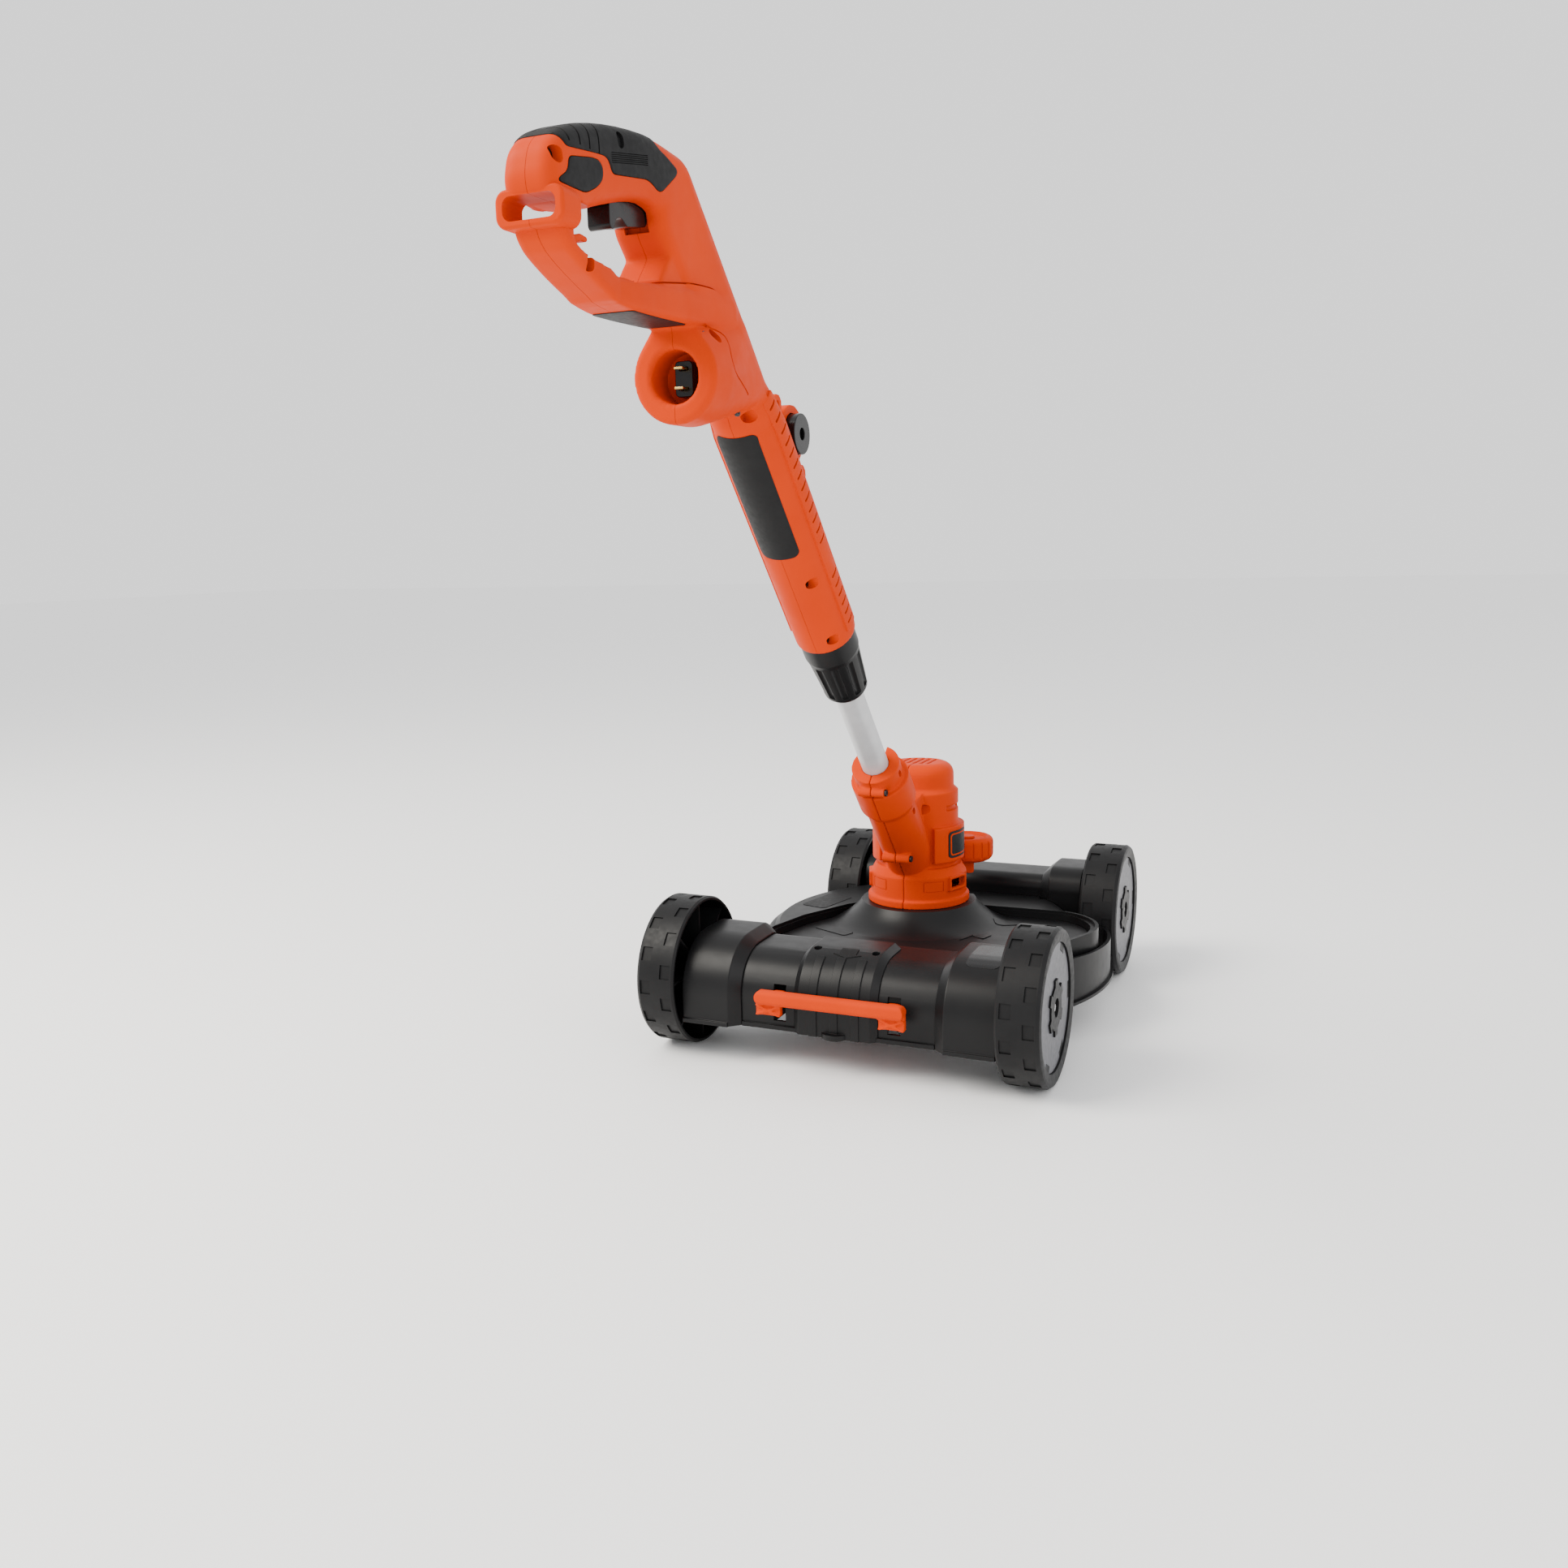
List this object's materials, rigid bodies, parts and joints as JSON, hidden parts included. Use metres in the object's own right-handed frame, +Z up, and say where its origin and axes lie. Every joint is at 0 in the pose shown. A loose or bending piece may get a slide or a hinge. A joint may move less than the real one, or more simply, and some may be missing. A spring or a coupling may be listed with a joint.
{
  "type": "wheeled string trimmer",
  "caption": "Corded string trimmer with a D-shaped grip and telescopic shaft, seated in a wheeled mowing deck with a foot pedal release and side bumper.",
  "frame": {"origin": "on the floor under the middle of the bounding box", "axes": "+Z up, +Y forwards away from the user, +X to the user's right"},
  "size_m": [0.387, 0.8806, 0.7114],
  "materials": {
    "orange_plastic": "satin moulded plastic",
    "black_plastic": "fine textured moulded plastic",
    "wheel_plastic": "textured moulded plastic",
    "disc_plastic": "satin plastic",
    "steel": "plain steel",
    "dark_screw": "black oxide",
    "tube_paint": "satin anodised",
    "soft_rubber": "soft matte",
    "dark_panel": "plain printed film",
    "brass": "plain",
    "spool_plastic": "plain",
    "line_nylon": "drawn nylon"
  },
  "bodies": {
    "deck": {"rear_beam": "black_plastic", "front_beam": "black_plastic", "end_cap_rear_left": "black_plastic", "end_cap_rear_right": "black_plastic", "end_cap_front_left": "black_plastic", "end_cap_front_right": "black_plastic", "deck_shroud": "black_plastic", "deck_pad": "black_plastic", "latch_housing": "black_plastic", "axle_pins": "steel", "axle_clips": "steel", "pedal_pin": "steel", "pedal_spring": "steel", "deck_screws": "steel"},
    "pedal": {"foot_pedal": "orange_plastic", "latch_hook": "steel"},
    "wheel_rl": {"wheel_rear_left": "wheel_plastic", "hub_disc_rear_left": "disc_plastic"},
    "wheel_rr": {"wheel_rear_right": "wheel_plastic", "hub_disc_rear_right": "disc_plastic"},
    "wheel_fl": {"wheel_front_left": "wheel_plastic", "hub_disc_front_left": "disc_plastic"},
    "wheel_fr": {"wheel_front_right": "wheel_plastic", "hub_disc_front_right": "disc_plastic"},
    "head": {"head_shell_left": "orange_plastic", "head_shell_right": "orange_plastic", "guard": "black_plastic", "guard_screws": "steel", "line_cutter": "steel", "motor_can": "steel", "motor_bearings": "steel", "head_screws": "dark_screw", "lower_tube": "tube_paint", "badge_plate": "dark_panel", "edging_pin": "steel"},
    "cutter": {"motor_shaft": "steel", "spool_housing": "black_plastic", "spool": "spool_plastic", "line_winding": "line_nylon", "spool_cap": "black_plastic"},
    "edger": {"edging_wheel": "orange_plastic"},
    "chuck": {"collet_sleeve": "black_plastic"},
    "nut": {"collet_nut": "black_plastic"},
    "handle": {"handle_shell_left": "orange_plastic", "handle_shell_right": "orange_plastic", "soft_grip": "soft_rubber", "finger_pad": "soft_rubber", "label_panel": "dark_panel", "inlet_insert": "black_plastic", "inlet_blades": "brass", "switch_box": "black_plastic", "trigger_pin": "steel", "trigger_spring": "steel", "aux_bracket": "orange_plastic", "aux_spring": "steel", "handle_screws": "dark_screw", "handle_spigot": "black_plastic"},
    "trigger": {"trigger": "black_plastic"},
    "button": {"aux_button": "black_plastic"}
  },
  "joints": [
    {"name": "wheel_rear_left_spin", "type": "hinge", "parent": "deck", "child": "wheel_rl", "pos_m": [-0.1695, 0.03, 0.07], "axis": [1, 0, 0], "continuous": true},
    {"name": "wheel_rear_right_spin", "type": "hinge", "parent": "deck", "child": "wheel_rr", "pos_m": [0.1695, 0.03, 0.07], "axis": [1, 0, 0], "continuous": true},
    {"name": "wheel_front_left_spin", "type": "hinge", "parent": "deck", "child": "wheel_fl", "pos_m": [-0.116, 0.372, 0.07], "axis": [1, 0, 0], "continuous": true},
    {"name": "wheel_front_right_spin", "type": "hinge", "parent": "deck", "child": "wheel_fr", "pos_m": [0.1695, 0.372, 0.07], "axis": [1, 0, 0], "continuous": true},
    {"name": "pedal_press", "type": "hinge", "parent": "deck", "child": "pedal", "pos_m": [0, 0.022, 0.052], "axis": [1, 0, 0], "range_deg": [0, 12], "stiffness_Nm_per_rad": 1.5, "springref_deg": -8.59, "deforming": ["pedal_spring"]},
    {"name": "trimmer_lift", "type": "slide", "parent": "deck", "child": "head", "axis": [0, 0, 1], "range_m": [0, 0.15]},
    {"name": "cutter_spin", "type": "hinge", "parent": "head", "child": "cutter", "pos_m": [0, 0.225, 0.09], "axis": [0, 0, 1], "continuous": true},
    {"name": "edging_wheel_spin", "type": "hinge", "parent": "head", "child": "edger", "pos_m": [0.03101, 0.297, 0.145], "axis": [0, 0, 1], "continuous": true},
    {"name": "shaft_extend", "type": "slide", "parent": "head", "child": "chuck", "axis": [0, -0.6691, 0.7431], "range_m": [0, 0.18]},
    {"name": "handle_turn", "type": "hinge", "parent": "chuck", "child": "handle", "pos_m": [0, -0.02124, 0.39548], "axis": [0, -0.6691, 0.7431], "range_deg": [0, 180]},
    {"name": "collet_twist", "type": "hinge", "parent": "handle", "child": "nut", "pos_m": [0, 0.00218, 0.36947], "axis": [0, -0.6691, 0.7431], "range_deg": [0, 90]},
    {"name": "trigger_pull", "type": "hinge", "parent": "handle", "child": "trigger", "pos_m": [0, -0.32912, 0.67679], "axis": [-1, 0, 0], "range_deg": [0, 8], "stiffness_Nm_per_rad": 0.5, "springref_deg": -5.73, "deforming": ["trigger_spring"]},
    {"name": "aux_press", "type": "slide", "parent": "handle", "child": "button", "axis": [-1, 0, 0], "range_m": [0, 0.005], "stiffness_N_per_m": 400, "springref_m": -0.002, "deforming": ["aux_spring"]}
  ]
}
